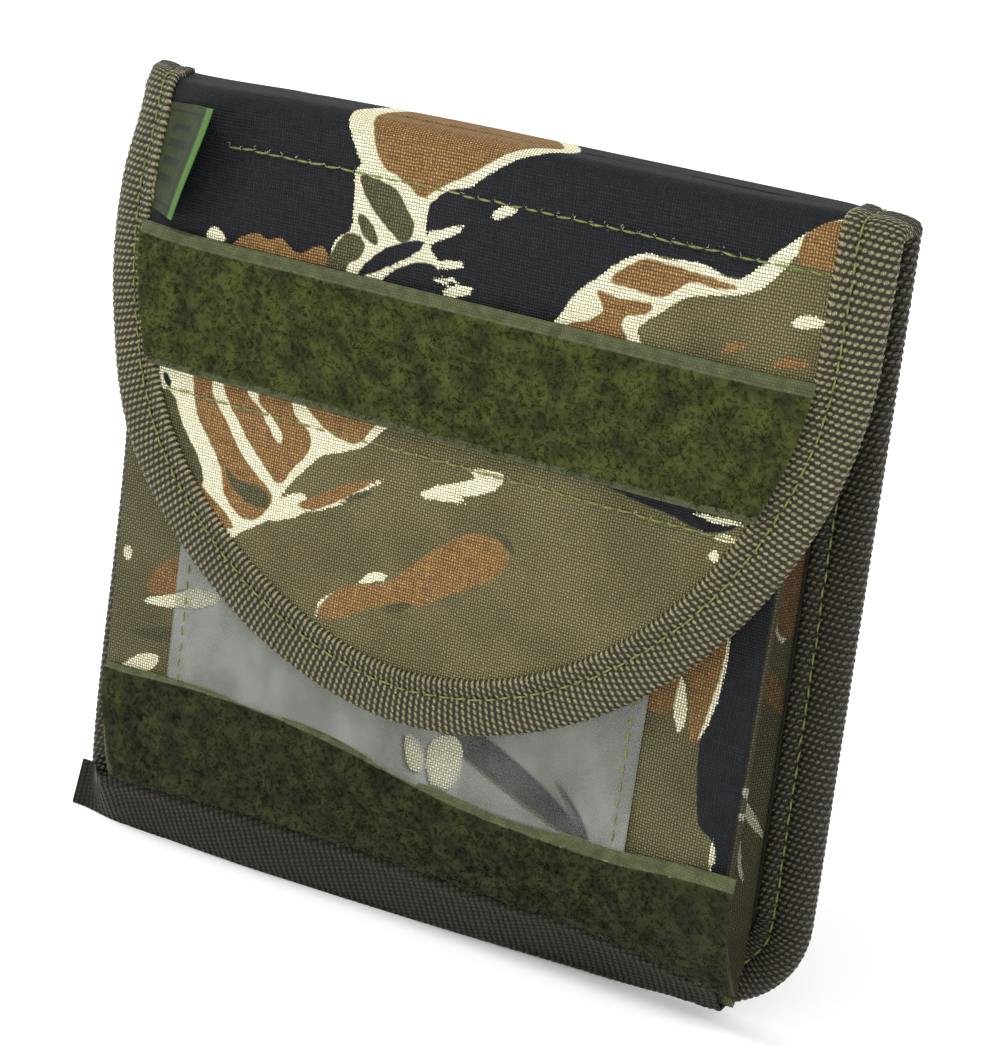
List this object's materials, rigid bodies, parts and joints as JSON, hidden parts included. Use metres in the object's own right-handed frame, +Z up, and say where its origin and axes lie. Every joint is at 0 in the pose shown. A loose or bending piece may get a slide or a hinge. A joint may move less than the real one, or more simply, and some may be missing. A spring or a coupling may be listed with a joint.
{
  "type": "flap-over fabric wallet",
  "caption": "Gusseted flat fabric wallet with a hook-and-loop flap, a clear card window and loop strips for name tapes.",
  "frame": {"origin": "centre of the bounding box's bottom, under the wallet standing upright on its bottom edge", "axes": "+Z up, -Y the way the flap and the window face, +X to the right seen from the front"},
  "size_m": [0.152, 0.0192, 0.147],
  "materials": {
    "camouflage_cloth": "plain-weave nylon, matt",
    "lining_cloth": "coated lining cloth, matt",
    "binding_tape": "ribbed tape, slight sheen",
    "loop_tape": "brushed pile, matt",
    "hook_tape": "moulded hooks, matt",
    "thread": "bonded sewing thread",
    "clear_sheet": "clear glossy sheet",
    "label_cloth": "woven label, satin",
    "board": "plain sheet"
  },
  "bodies": {
    "pouch": {"back_panel": "camouflage_cloth", "back_board": "board", "back_lining": "lining_cloth", "side_gusset_left": "camouflage_cloth", "side_gusset_right": "camouflage_cloth", "side_binding": "binding_tape", "bottom_binding": "binding_tape", "binding_stitches": "thread"},
    "front_pocket": {"front_panel": "camouflage_cloth", "front_lining": "lining_cloth", "mouth_binding": "binding_tape", "front_loop_field": "loop_tape", "id_window": "clear_sheet", "window_stitches": "thread", "lower_loop_strip": "loop_tape", "lower_strip_stitches": "thread"},
    "top_bridge": {"top_panel": "camouflage_cloth", "top_lining": "lining_cloth", "top_binding_left": "binding_tape", "top_binding_right": "binding_tape"},
    "flap": {"flap_panel": "camouflage_cloth", "flap_lining": "lining_cloth", "flap_hook_strip": "hook_tape", "flap_loop_strip": "loop_tape", "flap_strip_stitches": "thread", "flap_binding": "binding_tape", "flap_binding_stitches": "thread", "flap_upper_stitches": "thread", "flap_lower_stitches": "thread", "label_tab": "label_cloth"}
  },
  "joints": [
    {"name": "top_fold", "type": "hinge", "parent": "pouch", "child": "top_bridge", "pos_m": [0, 0.00963, 0.147], "axis": [-1, 0, 0], "range_deg": [0, 90]},
    {"name": "flap_fold", "type": "hinge", "parent": "top_bridge", "child": "flap", "pos_m": [0, -0.00247, 0.147], "axis": [-1, 0, 0], "range_deg": [0, 90]},
    {"name": "pocket_press", "type": "hinge", "parent": "pouch", "child": "front_pocket", "pos_m": [0, 0.00191, 0.001], "axis": [-1, 0, 0], "range_deg": [0, 1.8]}
  ],
  "couplings": [
    {"joint": "top_fold", "follows": "flap_fold", "ratio": 1}
  ]
}
